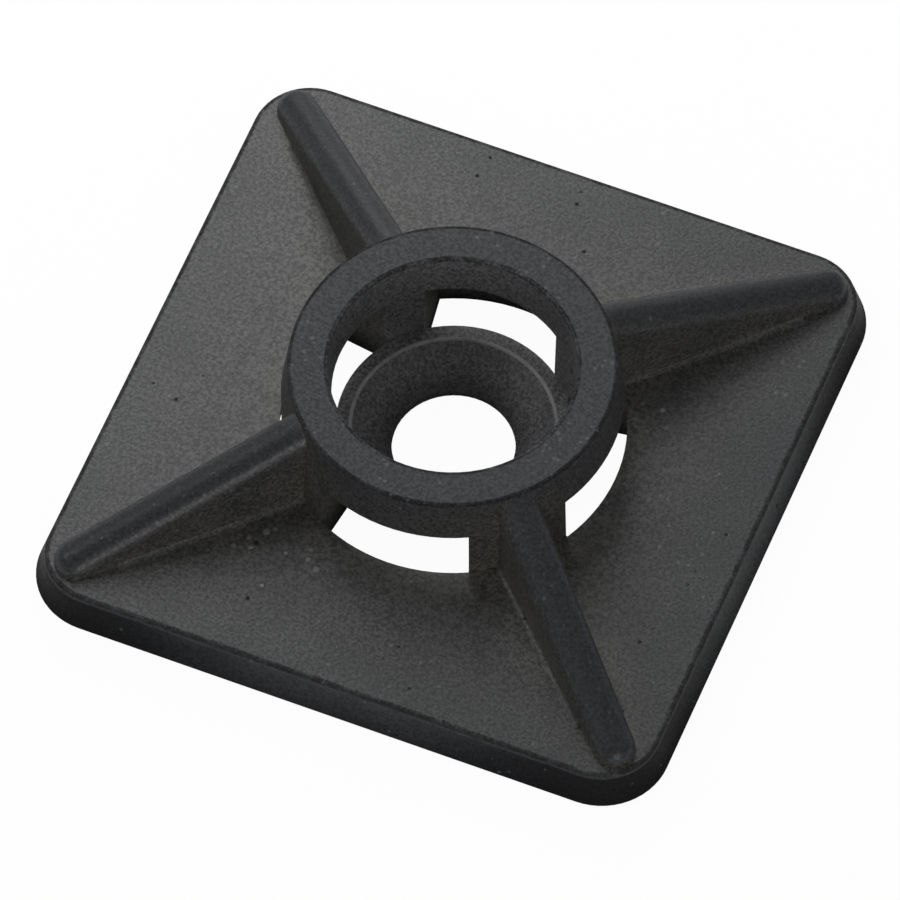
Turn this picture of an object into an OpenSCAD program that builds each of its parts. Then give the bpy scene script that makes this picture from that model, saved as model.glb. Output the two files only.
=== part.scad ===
// Four-way cable tie mount, moulded in one piece: a square base plate, a raised collar that
// stands on four posts so that a tie can pass under it, four ribs and a countersunk screw seat.

/* [Base plate] */
// Side of the square plate, measured at its foot
plate_w = 28; // [26:0.5:40]
// Thickness of the plate at its edge
plate_t = 1.8; // [1.6:0.1:3]
// Radius of the plate's four corners, at its foot
corner_r = 2.9; // [2:0.1:4]
// How far the edge wall leans in from foot to top
wall_lean = 0.42; // [0.2:0.02:0.6]
// How much higher the top panels are at the middle than at the edge
panel_rise = 0.1; // [0.06:0.02:0.3]

/* [Collar] */
// Height of the ring itself, from the top of the tie's opening to its top face
collar_band = 2.05; // [1.2:0.05:4]
// Outside diameter of the collar at its top
collar_od = 13.74; // [13:0.02:16]
// Inside diameter of the collar at its top
collar_id = 10.34; // [9.8:0.02:11]
// Clear height under the collar, which is the thickness of tie it takes
tie_gap = 2.7; // [1.2:0.1:3]
// Growth of the collar's outside radius from its top to its lower edge
collar_flare = 0.28; // [0.1:0.02:0.4]
// Loss of the collar's inside radius from its top to its lower edge
bore_draft = 0.12; // [0.05:0.01:0.14]

/* [Tie slots] */
// Clearance from the foot of the collar's bore in to the slots' inner wall
slot_inner_gap = 0.12; // [0.04:0.01:0.2]
// Clearance from the foot of the posts out to the slots' outer wall
slot_outer_gap = 0.06; // [0.03:0.01:0.5]
// Half of a slot's width at its outer wall
slot_half_w = 3.3; // [2:0.1:3.4]
// Angle that a slot's end walls make with its centre line
slot_end_angle = 8; // [0:1:15]
// How far the slots' outer wall opens out towards the underside
slot_draft = 0.17; // [0.05:0.01:0.3]
// Height of the bevel that leads a tie in under the screw seat
slot_bevel_h = 0.9; // [0.3:0.1:1]
// How far that bevel cuts in under the seat
slot_bevel_in = 0.55; // [0.2:0.05:0.6]

/* [Ribs] */
// Width of the ribs and of their half-round crests
rib_w = 1.76; // [1.2:0.02:2]
// Flat left between a rib's nose and the rounded edge of the plate's corner
nose_margin = 0.18; // [0.1:0.02:2]
// Height of the straight wall under the dome of the nose
nose_rise = 0.1; // [0.04:0.02:0.5]
// How far below the collar's top face the crest meets the collar
rib_top_drop = 0.19; // [0.16:0.01:1]
// Taper of the rib's side walls, in degrees
rib_draft = 1.5; // [0.5:0.5:3]
// Radius of the fillet at the rib's foot
rib_fillet = 0.3; // [0.1:0.02:0.5]

/* [Screw seat] */
// Diameter of the screw hole
screw_d = 5.2; // [3.5:0.1:5.6]
// Diameter of the countersink at the top of the plate
head_d = 8.58; // [7.4:0.02:9]
// Height of the straight hole left under the countersink
seat_land = 0.3; // [0.2:0.05:0.6]

/* [Hidden] */
$fn = 96;
EPS = 0.01;
OVER = 1;
ARC_STEPS = 4;
RIB_ANGLES = [45, 135, 225, 315];
SLOT_ANGLES = [0, 90, 180, 270];
// Roundings and small steps that follow from how the part is moulded
edge_round = 0.12;
seat_round = 0.14;
crown_inset = 0.05;
post_step = 0.04;
rib_bite = 0.3;
fillet_stop = 1.5;
fillet_sink = 1.02;
// Plate
half_w = plate_w / 2;
corner_c = half_w - corner_r;
corner_reach = corner_c * sqrt(2) + corner_r;
wall_angle = atan(wall_lean / (plate_t - 2 * edge_round));
crown_half = half_w - wall_lean - edge_round - crown_inset;
panel_top = plate_t + panel_rise;
// Collar and slots
gap_top = plate_t + tie_gap;
collar_h = gap_top + collar_band;
collar_r = collar_od / 2;
bore_r = collar_id / 2;
post_foot_r = collar_r + collar_flare + post_step;
gap_bore_r = bore_r - bore_draft;
slot_outer_r = post_foot_r + slot_outer_gap;
slot_inner_r = gap_bore_r - slot_inner_gap;
// Ribs
rib_r = rib_w / 2;
rib_reach = corner_reach - wall_lean - edge_round - nose_margin - rib_r;
nose_z = plate_t + nose_rise;
root_z = collar_h - rib_top_drop - rib_r;
rib_angle = atan((root_z - nose_z) / (rib_reach - collar_r));
rib_len = (rib_reach - bore_r - rib_r) / cos(rib_angle);
rib_depth = root_z / cos(rib_angle);
fillet_end = rib_reach - fillet_stop;
// Where a rib's foot leaves the level middle of the crown, and how it falls from there
ridge_end = slot_outer_r * sqrt(2);
ridge_fall = atan(panel_rise / ((crown_half - slot_outer_r) * sqrt(2)));
// Screw seat
seat_half_angle = atan((head_d - screw_d) / 2 / (plate_t - seat_land));

// Points of an arc about c, from angle a0 to angle a1
function arc(c, r, a0, a1) =
    [for (i = [0 : ARC_STEPS]) let (a = a0 + (a1 - a0) * i / ARC_STEPS) c + r * [cos(a), sin(a)]];

// Outline of the plate's edge, x outwards from a corner's centre and y up
function edge_outline(inner) = concat(
    [[-inner, 0]],
    arc([corner_r - edge_round, edge_round], edge_round, -90, wall_angle),
    arc([corner_r - edge_round - wall_lean, plate_t - edge_round], edge_round, wall_angle, 90),
    [[-inner, plate_t]]
);

// One bar of the plate, as long as the straight part of a side and as wide as the plate
module plate_bar() {
    for (side = [0, 1])
        rotate([90, 0, 180 * side])
            translate([corner_c, 0, -corner_c])
                linear_extrude(height = 2 * corner_c)
                    polygon(edge_outline(corner_c + side * EPS));
}

// Low four-sided crown that gives the top panels their fall towards the edge
module crown() {
    outline = [
        [-crown_half, plate_t - OVER],
        [crown_half, plate_t - OVER],
        [crown_half, plate_t],
        [slot_outer_r, panel_top],
        [-slot_outer_r, panel_top],
        [-crown_half, plate_t]
    ];
    corner = crown_half - corner_c;
    intersection() {
        roof_bar(outline, crown_half);
        rotate([0, 0, 90]) roof_bar(outline, crown_half);
        union() {
            for (turn = [0, 90])
                rotate([0, 0, turn])
                    translate([-corner_c, -crown_half, 0])
                        cube([2 * corner_c, 2 * crown_half, plate_t + OVER]);
            for (x = [-corner_c, corner_c], y = [-corner_c, corner_c])
                translate([x, y, 0]) cylinder(r = corner, h = plate_t + OVER);
        }
    }
}

// Bar along y with the given outline, a little longer than the crown on either side
module roof_bar(outline, reach) {
    rotate([90, 0, 0])
        translate([0, 0, -reach - OVER])
            linear_extrude(height = 2 * (reach + OVER)) polygon(outline);
}

module plate() {
    plate_bar();
    rotate([0, 0, 90]) plate_bar();
    for (turn = RIB_ANGLES)
        rotate([0, 0, turn - 45])
            translate([corner_c, corner_c, 0])
                rotate_extrude(angle = 90) polygon(edge_outline(0));
    crown();
}

// Solid outside of the collar and its posts
module collar_body() {
    lean = atan(collar_flare / (collar_h - gap_top));
    rotate_extrude()
        polygon(concat(
            [[0, plate_t - OVER], [post_foot_r, plate_t - OVER], [post_foot_r, plate_t]],
            [[collar_r + collar_flare, gap_top]],
            arc([collar_r - edge_round, collar_h - edge_round], edge_round, lean, 90),
            [[0, collar_h]]
        ));
}

// Space inside the collar and its posts, down to the floor round the screw seat
module collar_bore() {
    rotate_extrude()
        polygon(concat(
            [[0, plate_t], [slot_inner_r + EPS, plate_t], [gap_bore_r, gap_top]],
            arc([bore_r + edge_round, collar_h - edge_round], edge_round, 180, 90),
            [[bore_r + edge_round, collar_h + OVER], [0, collar_h + OVER]]
        ));
}

// One rib on the +x axis: a sloping half-round bar with a web under it and a domed nose
module rib() {
    taper = rib_depth * tan(rib_draft);
    translate([rib_reach, 0, nose_z]) {
        sphere(r = rib_r);
        rotate([0, -90 + rib_angle, 0])
            rotate([0, 0, 90])
                linear_extrude(height = rib_len) {
                    circle(r = rib_r);
                    polygon([
                        [-rib_r, 0],
                        [rib_r, 0],
                        [rib_r + taper, rib_depth],
                        [-rib_r - taper, rib_depth]
                    ]);
                }
    }
}

// Fillet strip of the given length along x, in the corner between a rib's side and the panel
module foot_strip(length) {
    size = rib_fillet;
    rotate([90, 0, 90])
        linear_extrude(height = length)
            difference() {
                translate([-rib_r / 2, -size]) square([size + rib_r / 2, 2 * size]);
                translate([size, size]) circle(r = size * fillet_sink);
            }
}

// Fillets along both feet of a rib on the +x axis, level and then falling with the panel
module rib_foot() {
    for (side = [0, 1])
        mirror([0, side, 0])
            translate([ridge_end, rib_r, panel_top]) {
                translate([collar_r - ridge_end, 0, 0]) foot_strip(ridge_end - collar_r);
                rotate([0, ridge_fall, 0]) foot_strip(fillet_end - ridge_end);
            }
}

module ribs() {
    difference() {
        for (turn = RIB_ANGLES)
            rotate([0, 0, turn]) {
                rib();
                rib_foot();
            }
        translate([0, 0, -OVER]) cylinder(r = collar_r - rib_bite, h = collar_h + 2 * OVER);
        translate([-plate_w, -plate_w, -plate_w])
            cube([2 * plate_w, 2 * plate_w, plate_w + plate_t / 2]);
    }
}

// Core of one tie slot: through the plate and on up to the underside of the collar
module slot_core() {
    inner_low = slot_inner_r - slot_bevel_in;
    outer_low = slot_outer_r + slot_draft;
    wide_at = slot_outer_r * cos(asin(slot_half_w / slot_outer_r));
    intersection() {
        rotate_extrude()
            polygon([
                [inner_low, -EPS],
                [outer_low, -EPS],
                [slot_outer_r, plate_t],
                [slot_outer_r, gap_top],
                [slot_inner_r, gap_top],
                [slot_inner_r, slot_bevel_h]
            ]);
        translate([0, 0, -OVER])
            linear_extrude(height = gap_top + 2 * OVER)
                polygon([
                    [0, -slot_half_w + wide_at * tan(slot_end_angle)],
                    [wide_at + OVER, -slot_half_w - OVER * tan(slot_end_angle)],
                    [wide_at + OVER, slot_half_w + OVER * tan(slot_end_angle)],
                    [0, slot_half_w - wide_at * tan(slot_end_angle)]
                ]);
    }
}

// Screw hole and countersink, with the seat's upper edge rounded over
module screw_seat() {
    lip = seat_round * tan(seat_half_angle / 2);
    rotate_extrude()
        polygon(concat(
            [[0, -OVER], [screw_d / 2, -OVER], [screw_d / 2, seat_land]],
            arc([head_d / 2 + lip, plate_t - seat_round], seat_round, 180 - seat_half_angle, 90),
            [[head_d / 2 + lip, plate_t + EPS], [0, plate_t + EPS]]
        ));
}

module tie_mount() {
    color("#2b2b2e")
        difference() {
            union() {
                plate();
                collar_body();
                ribs();
            }
            collar_bore();
            screw_seat();
            for (turn = SLOT_ANGLES)
                rotate([0, 0, turn]) slot_core();
        }
}

tie_mount();
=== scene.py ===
# Four-way cable tie mount, moulded in black nylon, on a pale table under soft studio light.
import math

import bmesh
import bpy
from mathutils import Matrix, Vector


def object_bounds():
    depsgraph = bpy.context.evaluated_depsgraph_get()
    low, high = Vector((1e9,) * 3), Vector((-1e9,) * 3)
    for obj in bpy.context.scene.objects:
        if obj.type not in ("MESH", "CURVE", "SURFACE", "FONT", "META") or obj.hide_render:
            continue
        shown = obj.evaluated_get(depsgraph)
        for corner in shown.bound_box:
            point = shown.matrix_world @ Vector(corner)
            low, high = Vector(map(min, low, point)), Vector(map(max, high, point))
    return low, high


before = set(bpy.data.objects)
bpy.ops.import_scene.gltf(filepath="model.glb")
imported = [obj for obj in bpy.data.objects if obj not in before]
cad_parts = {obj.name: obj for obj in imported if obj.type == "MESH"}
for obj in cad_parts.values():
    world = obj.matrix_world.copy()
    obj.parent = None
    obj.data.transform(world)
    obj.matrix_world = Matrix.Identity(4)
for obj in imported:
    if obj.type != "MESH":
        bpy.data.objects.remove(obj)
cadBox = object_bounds()
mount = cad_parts["tie_mount"]
scene = bpy.context.scene
print("frame loaded")


cameraSet = {
    "azimuth": 22.753,  # degrees round the object, 0 looks along +Y
    "elevation": 58.258,
    "roll": 0.683,
    "distance": 0.512112,  # metres
    "aimRight": -0.0001528,  # where the camera looks, beside the origin
    "aimUp": -0.0000776,
    "lens": 489.73,  # millimetres
    "sensor": 36.0,
    "clip": (0.01, 20),  # metres
}


def directionTo(azimuth, elevation):
    a, e = math.radians(azimuth), math.radians(elevation)
    return Vector((math.sin(a) * math.cos(e), -math.cos(a) * math.cos(e), math.sin(e)))


def makeCamera(c):
    back = directionTo(c["azimuth"], c["elevation"])
    level = Vector((0, 0, 1)).cross(back).normalized()
    roll = Matrix.Rotation(-math.radians(c["roll"]), 3, back)
    right = roll @ level
    up = roll @ back.cross(level)
    data = bpy.data.cameras.new("camera")
    data.sensor_width = c["sensor"]
    data.lens = c["lens"]
    data.clip_start, data.clip_end = c["clip"]
    camera = bpy.data.objects.new("camera", data)
    scene.collection.objects.link(camera)
    place = Matrix((right, up, back)).transposed().to_4x4()
    place.translation = right * c["aimRight"] + up * c["aimUp"] + back * c["distance"]
    camera.matrix_world = place
    scene.camera = camera


makeCamera(cameraSet)
print("camera placed")


def newMaterial(name):
    material = bpy.data.materials.new(name)
    material.use_nodes = True
    tree = material.node_tree
    return material, tree, tree.nodes["Principled BSDF"]


def newGroup(name, inputs, outputs):
    # inputs gives each number's default, and None for a vector
    tree = bpy.data.node_groups.new(name, "ShaderNodeTree")
    for label, value in inputs.items():
        kind = "NodeSocketVector" if value is None else "NodeSocketFloat"
        socket = tree.interface.new_socket(label, in_out="INPUT", socket_type=kind)
        if value is not None:
            socket.default_value = value
    for label in outputs:
        tree.interface.new_socket(label, in_out="OUTPUT", socket_type="NodeSocketFloat")
    return tree, tree.nodes.new("NodeGroupInput").outputs, tree.nodes.new("NodeGroupOutput").inputs


def placeGroup(tree, group, vector=None, **values):
    node = tree.nodes.new("ShaderNodeGroup")
    node.node_tree = group
    if vector is not None:
        tree.links.new(vector, node.inputs["Vector"])
    for label, value in values.items():
        node.inputs[label].default_value = value
    return node.outputs


def give(tree, socket, value):
    # a number or a colour is set, and another node's output is linked
    if isinstance(value, (int, float)):
        socket.default_value = value
    elif isinstance(value, tuple):
        socket.default_value = (*value, 1.0)
    else:
        tree.links.new(value, socket)


def calculate(tree, operation, a, b=None, clamp=False):
    node = tree.nodes.new("ShaderNodeMath")
    node.operation = operation
    node.use_clamp = clamp
    give(tree, node.inputs[0], a)
    if b is not None:
        give(tree, node.inputs[1], b)
    return node.outputs[0]


def times(tree, a, b):
    return calculate(tree, "MULTIPLY", a, b)


def anyOf(tree, masks):
    joined = masks[0]
    for mask in masks[1:]:
        joined = calculate(tree, "MAXIMUM", joined, mask)
    return joined


def ramp(tree, value, low, high, toLow=0.0, toHigh=1.0):
    node = tree.nodes.new("ShaderNodeMapRange")
    node.interpolation_type = "SMOOTHSTEP"
    given = {"Value": value, "From Min": low, "From Max": high, "To Min": toLow, "To Max": toHigh}
    for label, end in given.items():
        give(tree, node.inputs[label], end)
    return node.outputs["Result"]


def mixColour(tree, factor, a, b, blend="MIX"):
    node = tree.nodes.new("ShaderNodeMix")
    node.data_type = "RGBA"
    node.blend_type = blend
    # sockets 6 and 7 and output 2 are a mix node's colours
    for place, value in ((0, factor), (6, a), (7, b)):
        give(tree, node.inputs[place], value)
    return node.outputs[2]


def noise(tree, vector, scale, detail, roughness=0.5):
    node = tree.nodes.new("ShaderNodeTexNoise")
    tree.links.new(vector, node.inputs["Vector"])
    for label, value in (("Scale", scale), ("Detail", detail), ("Roughness", roughness)):
        give(tree, node.inputs[label], value)
    return node.outputs["Fac"]


def split(tree, vector):
    node = tree.nodes.new("ShaderNodeSeparateXYZ")
    tree.links.new(vector, node.inputs["Vector"])
    return node.outputs


def flatten(tree, x, y):
    node = tree.nodes.new("ShaderNodeCombineXYZ")
    tree.links.new(x, node.inputs["X"])
    tree.links.new(y, node.inputs["Y"])
    return node.outputs["Vector"]


def measure(tree, operation, a, b=None):
    node = tree.nodes.new("ShaderNodeVectorMath")
    node.operation = operation
    tree.links.new(a, node.inputs[0])
    if b is not None:
        tree.links.new(b, node.inputs[1])
    return node.outputs["Value"]


grainSet = {
    "detail": 2.5,
    "roughness": 0.75,
    "spread": (0.27, 0.73),  # lump heights that give the darkest and the lightest tone
}
speckSet = {
    "smallest": 0.4,  # a dot's radius is Radius times this plus a random number from 0 to 1
    "core": 0.4,  # share of a dot's radius that is fully coloured
    "clumps": (0.46, 0.66, 0.06, 1.0),  # noise from and to, and the share of dots kept from and to
}
lineCore = 0.45  # share of a line's half width that is fully coloured
spotCore = 0.3  # share of a single spot's radius that is fully coloured
hollowSamples = 4


def makeGrain(g):
    # fine spark-eroded texture of the mould; Vector in millimetres, Fineness in lumps per millimetre
    tree, given, made = newGroup("mouldGrain", {"Vector": None, "Fineness": 7.0}, ["Height", "Tone"])
    lumps = noise(tree, given["Vector"], given["Fineness"], g["detail"], g["roughness"])
    tree.links.new(lumps, made["Height"])
    tree.links.new(ramp(tree, lumps, *g["spread"]), made["Tone"])
    return tree


def makeSpecks(s):
    # scattered dots, thicker in some places than in others; Vector in millimetres, Density and Clumping
    # per millimetre, Radius in parts of the cell that holds one dot, Share is how many cells have one
    inputs = {"Vector": None, "Density": 1.5, "Radius": 0.1, "Share": 0.3, "Clumping": 0.4}
    tree, given, made = newGroup("scatteredSpecks", inputs, ["Mask"])
    cells = tree.nodes.new("ShaderNodeTexVoronoi")
    tree.links.new(given["Vector"], cells.inputs["Vector"])
    tree.links.new(given["Density"], cells.inputs["Scale"])
    pick = tree.nodes.new("ShaderNodeSeparateColor")
    tree.links.new(cells.outputs["Color"], pick.inputs["Color"])
    size = times(tree, given["Radius"], calculate(tree, "ADD", pick.outputs["Green"], s["smallest"]))
    dot = ramp(tree, cells.outputs["Distance"], size, times(tree, size, s["core"]))
    clump = ramp(tree, noise(tree, given["Vector"], given["Clumping"], 1.0), *s["clumps"])
    kept = calculate(tree, "LESS_THAN", pick.outputs["Red"], times(tree, given["Share"], clump))
    tree.links.new(times(tree, dot, kept), made["Mask"])
    return tree


def drawLine(tree, given, reach, height):
    # 1 where reach and height are the group's Radius and Height, and 0 from Width away
    near = []
    for value, goal in ((reach, "Radius"), (height, "Height")):
        off = calculate(tree, "ABSOLUTE", calculate(tree, "SUBTRACT", value, given[goal]))
        near.append(ramp(tree, off, given["Width"], times(tree, given["Width"], lineCore)))
    return times(tree, *near)


def makeRimLine():
    # narrow line round a turned edge, at a radius from the screw's axis and a height; all in millimetres
    inputs = {"Vector": None, "Radius": 5.0, "Height": 5.0, "Width": 0.1}
    tree, given, made = newGroup("rimLine", inputs, ["Mask"])
    spot = split(tree, given["Vector"])
    reach = measure(tree, "LENGTH", flatten(tree, spot["X"], spot["Y"]))
    tree.links.new(drawLine(tree, given, reach, spot["Z"]), made["Mask"])
    return tree


def makePlateLine():
    # narrow line round the plate's upper edge: a square with round corners, set in from the outline
    inputs = {"Vector": None, "Corner": 11.0, "Radius": 2.4, "Height": 1.8, "Width": 0.1}
    tree, given, made = newGroup("plateLine", inputs, ["Mask"])
    spot = split(tree, given["Vector"])
    past = []
    for axis in "XY":
        over = calculate(tree, "SUBTRACT", calculate(tree, "ABSOLUTE", spot[axis]), given["Corner"])
        past.append(calculate(tree, "MAXIMUM", over, 0.0))
    reach = measure(tree, "LENGTH", flatten(tree, *past))
    tree.links.new(drawLine(tree, given, reach, spot["Z"]), made["Mask"])
    return tree


def makeSpotAt():
    # one round spot about a centre; Vector, Centre and Radius in millimetres
    tree, given, made = newGroup("spotAt", {"Vector": None, "Centre": None, "Radius": 0.1}, ["Mask"])
    away = measure(tree, "DISTANCE", given["Vector"], given["Centre"])
    tree.links.new(ramp(tree, away, given["Radius"], times(tree, given["Radius"], spotCore)), made["Mask"])
    return tree


def makeHollows():
    # how far into a corner or under an overhang a point lies: 1 deep inside, 0 in the open
    tree, given, made = newGroup("hollows", {"Reach": 0.002}, ["Mask"])
    cover = tree.nodes.new("ShaderNodeAmbientOcclusion")
    cover.samples = hollowSamples
    cover.only_local = True
    tree.links.new(given["Reach"], cover.inputs["Distance"])
    tree.links.new(calculate(tree, "SUBTRACT", 1.0, cover.outputs["AO"], clamp=True), made["Mask"])
    return tree


mouldGrain = makeGrain(grainSet)
scatteredSpecks = makeSpecks(speckSet)
rimLine = makeRimLine()
plateLine = makePlateLine()
spotAt = makeSpotAt()
hollows = makeHollows()
print("shared effects built")


# Places, heights and radii are in millimetres. A ramp's values are where it starts and ends,
# and, where there are four, what it gives at its start and its end.
nylon = {
    # colours
    "base": (0.0255, 0.028, 0.0315),
    "paler": (0.0345, 0.037, 0.0405),
    "raised": (0.021, 0.023, 0.0265),  # painted shade: ribs and collar darker than the plate
    # dust and painted fill light: a pale warm colour that lifts the shade in hollows
    "dustAndPaintedFill": (0.125, 0.118, 0.100),
    "bore": (0.130, 0.133, 0.138),  # painted fill light on the shaded inside of the collar and the screw seat
    # colour of the specks and of the painted glints
    "speckAndGlint": (0.13, 0.135, 0.14),
    "blister": (0.210, 0.215, 0.220),
    # painted shade inside pits and blowholes
    "pitShade": (0.003, 0.003, 0.003),
    # painted shade, for the lower walls, the walls near the plate's corners and the rounded edges
    "edge": (0.008, 0.008, 0.009),
    "wallReflectionStrip": (0.080, 0.083, 0.088),  # painted reflection: lighter strip just under the plate's upper edge
    "paintedSeatHighlight": (0.30, 0.30, 0.30),  # painted highlight ring on the screw seat's rounded edge
    # where the parts of the mount begin and end
    "perMetre": 1000,  # millimetres in a metre
    "collarTop": (0.3, 0.1),  # depths below the mount's highest point
    "raisedFrom": (2.05, 2.5),  # heights
    "lowWall": (1.3, 0.0),
    "topSide": (1.70, 1.78),  # the plate's face and all above it
    "plateWall": (1.70, 1.50),
    "beadFoot": (1.2, 1.45),
    "beadHead": (1.74, 1.6),
    "boreFrom": (5.34, 5.20),  # distances from the screw's axis
    "cornerFrom": (11.5, 17.5),  # painted shade darkens the outer walls from their middle to the corners
    # rounded edges: painted shade lines along them, and a painted highlight ring round the screw seat
    "collarRims": (6.80, 5.24),  # outer and inner radius of the ring's rounded edges
    "seatRim": 4.30,
    "plateTop": 1.8,
    "plateCorner": 11.1,
    "plateRim": 2.41,
    "rimDrop": 0.04,  # how far below its face a rounded edge lies
    "seatDrop": 0.02,
    "collarLine": 0.13,  # half widths of the lines
    "seatLine": 0.10,
    "plateLine": 0.169,
    "edgeWear": (0.3, 0.6, 0.4, 0.8),
    "edgeGrain": (0.35, 0.9, 1.0, 0.75),
    "seatHighlightBreakup": (0.3, 0.6, 0.5, 1.0),
    "wallReflectionBreakup": (0.35, 0.6, 0.1, 0.45),
    # unevenness; mottle and sink are the scale, detail and roughness of a noise
    "mottle": (0.35, 2.0, 0.55),
    "sink": (1.1, 1.0, 0.5),
    "palerMottle": (0.35, 0.65),
    "dustAndFillMottle": (0.3, 0.7, 0.75, 1.15),
    "dustAndFillReach": 0.012,  # metres
    "fineness": 6.6,  # grain per millimetre
    "grainTone": (0.4, 1.6),
    # dots and flaws
    "specks": {"Density": 2.6, "Radius": 0.24, "Share": 0.5, "Clumping": 0.16},
    # light dots that stand in for painted glints on the collar's top and the ribs
    "paintedGlints": {"Density": 4.2, "Radius": 0.42, "Share": 0.55, "Clumping": 0.3},
    "pits": {"Density": 1.6, "Radius": 0.14, "Share": 0.3, "Clumping": 0.2},
    "blisters": {"Density": 2.2, "Radius": 0.36, "Share": 6.0, "Clumping": 0.2},
    "flawPatches": [(-4.4, -9.2, 3.2), (7.8, 3.6, 1.3)],  # x, y, radius of the places with small blisters
    "blowholes": [(-5.4, -8.4, 0.18), (-4.7, -11.0, 0.13), (11.1, -6.9, 0.13), (0.7, 12.1, 0.13)],
    # how far each covers the colour under it
    "boreShare": 0.7,
    "lowWallShadeShare": 0.7,
    "cornerShadeShare": 0.85,
    "speckShare": 0.6,
    "glintShare": 0.5,  # painted glints, on the collar's top
    "glintOnRibs": 0.4,  # part of that share that the ribs have
    # sheen and roughness
    "ior": 1.53,
    "sheen": 0.5,
    "cornerSheen": 0.12,
    "roughness": (0.36, 0.46),
    "collarRoughness": 0.14,  # added on the collar's top, which the mould textures more coarsely
    "lowWallRoughness": 0.3,
    "edgeRoughness": 0.5,
    "holeRoughness": 0.4,
    # relief
    "grainDepth": 0.000011,  # metres
    "sinkDepth": 0.000006,  # slow waves
    "speckHeight": 0.4,  # parts of the grain's depth
    "blisterHeight": 2.5,
}


def markPlaces(tree, n, at):
    # the mount's parts, told apart by height and by distance from the screw's axis
    height, fromAxis = at["height"], at["fromAxis"]
    return {
        "collarTop": ramp(tree, height, *(at["top"] - depth for depth in n["collarTop"])),
        "raised": ramp(tree, height, *n["raisedFrom"]),
        "lowWall": ramp(tree, height, *n["lowWall"]),
        "topSide": ramp(tree, height, *n["topSide"]),
        "bore": ramp(tree, fromAxis, *n["boreFrom"]),
        "corner": times(tree, ramp(tree, height, *n["plateWall"]), ramp(tree, fromAxis, *n["cornerFrom"])),
    }


def markFlaws(tree, n, at, topSide):
    # scattered dots, the blisters within their patches, and the holes, which are pits and blowholes
    dots = {
        kind: placeGroup(tree, scatteredSpecks, at["vector"], **n[kind])["Mask"]
        for kind in ("specks", "paintedGlints", "pits", "blisters")
    }
    spots = {
        kind: times(tree, topSide, anyOf(tree, [
            placeGroup(tree, spotAt, at["flat"], Centre=(x, y, 0), Radius=radius)["Mask"]
            for x, y, radius in n[kind]
        ]))
        for kind in ("flawPatches", "blowholes")
    }
    return {
        "specks": dots["specks"],
        "paintedGlints": dots["paintedGlints"],
        "blisters": times(tree, spots["flawPatches"], dots["blisters"]),
        "holes": anyOf(tree, [dots["pits"], spots["blowholes"]]),
    }


def markPaintedEdgeLight(tree, n, at, texture, corner):
    # painted shade lines on the rounded edges, a painted highlight ring round the screw seat and a painted
    # reflection strip on the plate's wall
    vector, height, sink = at["vector"], at["height"], texture["sink"]
    collar = {"Height": at["top"] - n["rimDrop"], "Width": n["collarLine"]}
    seat = {"Radius": n["seatRim"], "Height": n["plateTop"] - n["seatDrop"], "Width": n["seatLine"]}
    plate = {
        "Corner": n["plateCorner"],
        "Radius": n["plateRim"],
        "Height": n["plateTop"] - n["rimDrop"],
        "Width": n["plateLine"],
    }
    lines = [placeGroup(tree, rimLine, vector, Radius=rim, **collar)["Mask"] for rim in n["collarRims"]]
    lines.append(placeGroup(tree, plateLine, vector, **plate)["Mask"])
    # painted shade along the rounded edges, broken up by noise
    edges = times(tree, anyOf(tree, lines), ramp(tree, sink, *n["edgeWear"]))
    # painted highlight ring on the screw seat's rounded edge
    ring = placeGroup(tree, rimLine, vector, **seat)["Mask"]
    # painted reflection: a lighter strip just under the plate's upper edge, left off the corners
    wallReflectionStrip = times(tree, ramp(tree, height, *n["beadFoot"]), ramp(tree, height, *n["beadHead"]))
    wallReflectionStrip = times(tree, wallReflectionStrip, ramp(tree, sink, *n["wallReflectionBreakup"]))
    return {
        "edges": times(tree, edges, ramp(tree, texture["tone"], *n["edgeGrain"])),
        "seat": times(tree, ring, ramp(tree, sink, *n["seatHighlightBreakup"])),
        "wallReflectionStrip": times(tree, wallReflectionStrip, calculate(tree, "SUBTRACT", 1.0, corner)),
    }


def nylonColour(tree, n, masks, texture):
    mottle = texture["mottle"]
    # dust and painted fill light, strongest deep in hollows where shade falls
    cover = placeGroup(tree, hollows, Reach=n["dustAndFillReach"])["Mask"]
    dustAndPaintedFill = calculate(tree, "MULTIPLY", cover, ramp(tree, mottle, *n["dustAndFillMottle"]), clamp=True)
    grain = ramp(tree, texture["tone"], 0.0, 1.0, *n["grainTone"])
    tone = mixColour(tree, ramp(tree, mottle, *n["palerMottle"]), n["base"], n["paler"])
    # painted shade: the ribs and the collar take a darker colour
    tone = mixColour(tree, masks["raised"], tone, n["raised"])
    tone = mixColour(tree, dustAndPaintedFill, tone, n["dustAndPaintedFill"])
    # painted fill light lightens the shaded inside of the collar and the screw seat
    tone = mixColour(tree, times(tree, masks["bore"], n["boreShare"]), tone, n["bore"])
    tone = mixColour(tree, 1.0, tone, grain, "MULTIPLY")
    # painted shade: the walls darker towards their foot and towards the plate's corners
    paintedWallShade = anyOf(tree, [
        times(tree, masks["lowWall"], n["lowWallShadeShare"]),
        times(tree, masks["corner"], n["cornerShadeShare"]),
    ])
    # painted glints on the collar's top and the ribs, in the same colour as the specks
    glintPlaces = anyOf(tree, [masks["collarTop"], times(tree, masks["raised"], n["glintOnRibs"])])
    specksAndGlints = anyOf(tree, [
        times(tree, times(tree, masks["paintedGlints"], glintPlaces), n["glintShare"]),
        times(tree, masks["specks"], n["speckShare"]),
    ])
    for mask, colour in (
        (paintedWallShade, "edge"),
        (masks["edges"], "edge"),
        (masks["wallReflectionStrip"], "wallReflectionStrip"),
        (masks["seat"], "paintedSeatHighlight"),
        (specksAndGlints, "speckAndGlint"),
        (masks["blisters"], "blister"),
        (masks["holes"], "pitShade"),
    ):
        tone = mixColour(tree, mask, tone, n[colour])
    return tone


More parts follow.
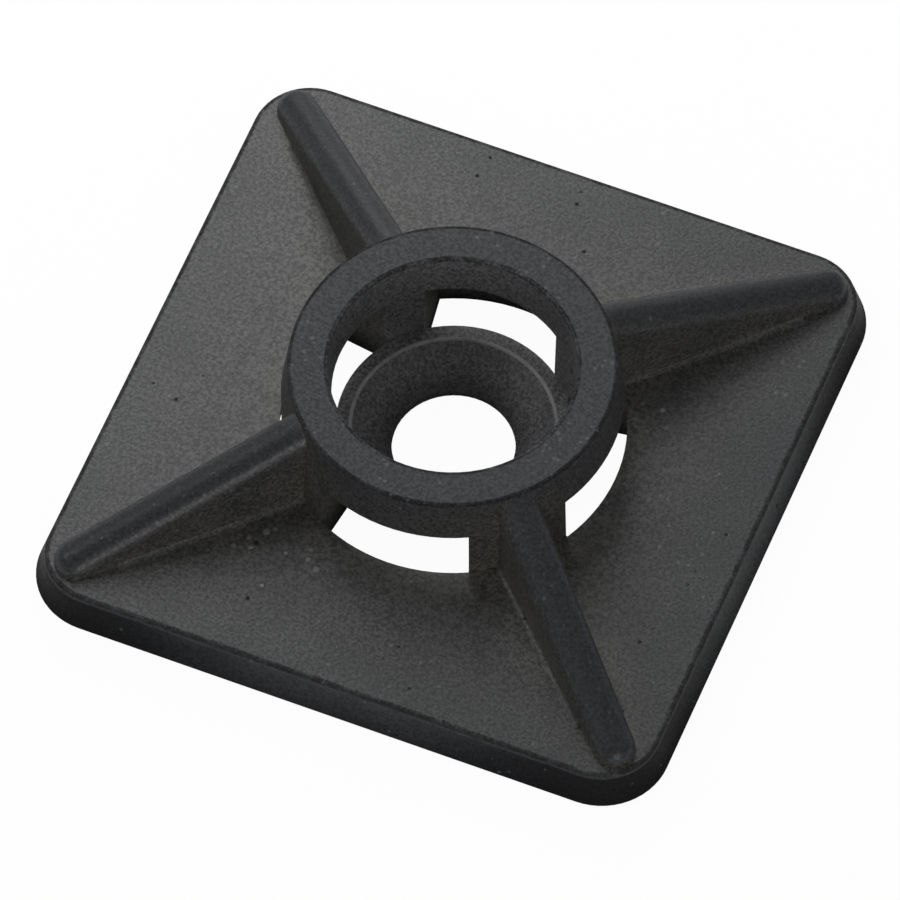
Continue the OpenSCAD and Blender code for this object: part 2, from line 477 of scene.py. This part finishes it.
def nylonRoughness(tree, n, masks, texture):
    smooth, coarse = n["roughness"]
    rough = ramp(tree, texture["tone"], 0.0, 1.0, coarse, smooth)
    for mask, added in (
        ("collarTop", "collarRoughness"),
        ("lowWall", "lowWallRoughness"),
        ("edges", "edgeRoughness"),
        ("holes", "holeRoughness"),
    ):
        rough = calculate(tree, "ADD", rough, times(tree, masks[mask], n[added]))
    return calculate(tree, "MINIMUM", rough, 1.0)


def nylonRelief(tree, n, masks, texture):
    fine = calculate(tree, "SUBTRACT", texture["lumps"], masks["holes"])
    for mask, added in (("specks", "speckHeight"), ("blisters", "blisterHeight")):
        fine = calculate(tree, "ADD", fine, times(tree, masks[mask], n[added]))
    normal = None
    for relief, depth in ((texture["sink"], "sinkDepth"), (fine, "grainDepth")):
        bump = tree.nodes.new("ShaderNodeBump")
        bump.inputs["Distance"].default_value = n[depth]
        tree.links.new(relief, bump.inputs["Height"])
        if normal is not None:
            tree.links.new(normal, bump.inputs["Normal"])
        normal = bump.outputs["Normal"]
    return normal


def makeNylon(n):
    material, tree, skin = newMaterial("blackNylon")
    place = tree.nodes.new("ShaderNodeTexCoord")
    scaled = tree.nodes.new("ShaderNodeMapping")
    scaled.inputs["Scale"].default_value = [n["perMetre"]] * 3
    tree.links.new(place.outputs["Object"], scaled.inputs["Vector"])
    vector = scaled.outputs["Vector"]
    spot = split(tree, vector)
    flat = flatten(tree, spot["X"], spot["Y"])
    at = {
        "vector": vector,
        "flat": flat,
        "height": spot["Z"],
        "fromAxis": measure(tree, "LENGTH", flat),
        "top": cadBox[1].z * n["perMetre"],
    }
    grain = placeGroup(tree, mouldGrain, vector, Fineness=n["fineness"])
    texture = {
        "lumps": grain["Height"],
        "tone": grain["Tone"],
        "mottle": noise(tree, vector, *n["mottle"]),
        "sink": noise(tree, vector, *n["sink"]),
    }
    masks = markPlaces(tree, n, at)
    masks.update(markFlaws(tree, n, at, masks["topSide"]))
    masks.update(markPaintedEdgeLight(tree, n, at, texture, masks["corner"]))
    finish = {
        "Base Color": nylonColour(tree, n, masks, texture),
        "Roughness": nylonRoughness(tree, n, masks, texture),
        "Specular IOR Level": ramp(tree, masks["corner"], 0.0, 1.0, n["sheen"], n["cornerSheen"]),
        "IOR": n["ior"],
        "Normal": nylonRelief(tree, n, masks, texture),
    }
    for label, value in finish.items():
        give(tree, skin.inputs[label], value)
    return material


mount.data.materials.clear()
mount.data.materials.append(makeNylon(nylon))
print("nylon applied")


tableSet = {
    "size": 3.0,
    "colour": (0.8, 0.8, 0.8),
    "roughness": 0.9,
    "sheen": 0.1,
    "glow": 0.93,  # share of plain white that the camera sees
    "strength": 1.03,
}


def makeTable(t):
    mesh = bpy.data.meshes.new("table")
    shape = bmesh.new()
    bmesh.ops.create_grid(shape, x_segments=1, y_segments=1, size=t["size"] / 2)
    shape.to_mesh(mesh)
    shape.free()
    table = bpy.data.objects.new("table", mesh)
    scene.collection.objects.link(table)
    material, tree, skin = newMaterial("paleTable")
    finish = {"Base Color": t["colour"], "Roughness": t["roughness"], "Specular IOR Level": t["sheen"]}
    for label, value in finish.items():
        give(tree, skin.inputs[label], value)
    white = tree.nodes.new("ShaderNodeEmission")
    white.inputs["Strength"].default_value = t["strength"]
    seen = tree.nodes.new("ShaderNodeLightPath")
    blend = tree.nodes.new("ShaderNodeMixShader")
    tree.links.new(times(tree, seen.outputs["Is Camera Ray"], t["glow"]), blend.inputs[0])
    tree.links.new(skin.outputs[0], blend.inputs[1])
    tree.links.new(white.outputs[0], blend.inputs[2])
    tree.links.new(blend.outputs[0], tree.nodes["Material Output"].inputs["Surface"])
    mesh.materials.append(material)


makeTable(tableSet)
print("table laid")


lampSet = [
    # name, azimuth, elevation, distance and diameter in metres, watts
    ("keyBehind", 216, 42, 0.14, 0.06, 0.036),
    ("highBehind", 225, 60, 0.14, 0.06, 0.016),
    ("lowBehind", 195, 36, 0.14, 0.06, 0.0225),
    ("leftFill", 288, 42, 0.60, 0.16, 0.31),
    ("lowFront", 36, 8, 0.60, 0.16, 0.44),
]
roomLight = 0.28


def makeLamps(lamps, room):
    for name, azimuth, elevation, distance, diameter, watts in lamps:
        data = bpy.data.lights.new(name, "AREA")
        data.shape = "DISK"
        data.size = diameter
        data.energy = watts
        lamp = bpy.data.objects.new(name, data)
        towards = directionTo(azimuth, elevation)
        lamp.location = towards * distance
        lamp.rotation_euler = (-towards).to_track_quat("-Z", "Y").to_euler()
        lamp.visible_camera = False
        scene.collection.objects.link(lamp)
    world = bpy.data.worlds.new("room")
    world.use_nodes = True
    sky = world.node_tree.nodes["Background"]
    sky.inputs["Color"].default_value = (1, 1, 1, 1)
    sky.inputs["Strength"].default_value = room
    scene.world = world


makeLamps(lampSet, roomLight)
scene.view_settings.view_transform = "Standard"
print("lamps on")
